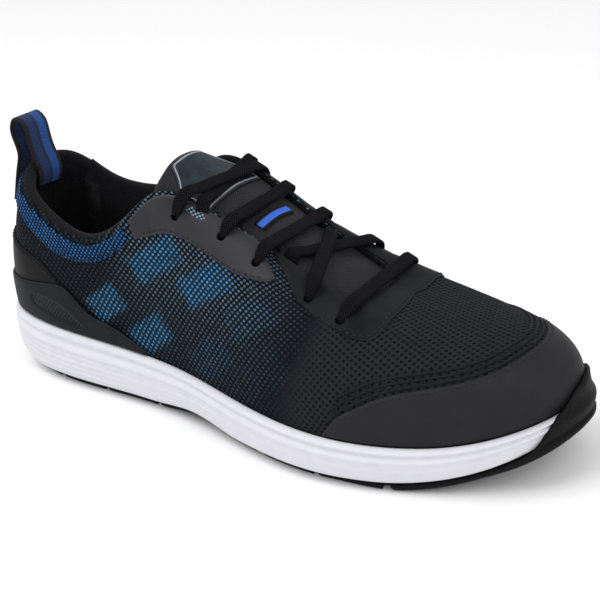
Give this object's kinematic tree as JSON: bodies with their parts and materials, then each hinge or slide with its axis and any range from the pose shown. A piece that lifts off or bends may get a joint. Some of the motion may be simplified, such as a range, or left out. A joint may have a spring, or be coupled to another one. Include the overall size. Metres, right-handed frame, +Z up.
{
  "type": "safety sneaker",
  "caption": "Low-cut right safety sneaker: knitted mesh upper on a last, lace-up throat with tongue, heel pull loop, cupped foam midsole and rubber tread.",
  "frame": {"origin": "middle of the bounding box in plan, on the floor under the sole", "axes": "+X from heel to toe, +Y towards the medial side (the wearer's left), +Z up"},
  "size_m": [0.3016, 0.1132, 0.1257],
  "materials": {
    "black_knit_mesh": "matt knitted netting",
    "black_synthetic": "matt film",
    "grey_synthetic": "matt film",
    "white_foam": "smooth moulded foam",
    "black_rubber": "matt moulded rubber",
    "black_lace": "matt flat braid",
    "blue_webbing": "ribbed webbing",
    "black_lining": "matt brushed lining"
  },
  "bodies": {
    "root": {"upper": "black_knit_mesh", "eyestay_outer": "grey_synthetic", "eyestay_inner": "grey_synthetic", "throat_strip": "black_synthetic", "collar_band": "black_knit_mesh", "midsole": "white_foam", "outsole": "black_rubber", "insole": "black_lining", "tongue": "black_lining", "tongue_label": "black_synthetic", "lace_keeper": "blue_webbing", "toe_cap": "black_synthetic", "heel_counter": "black_synthetic", "heel_support": "grey_synthetic", "lace_bar": "black_lace", "lace_cross_1": "black_lace", "lace_cross_2": "black_lace", "lace_cross_3": "black_lace", "lace_cross_4": "black_lace", "pull_loop": "blue_webbing"}
  },
  "joints": []
}
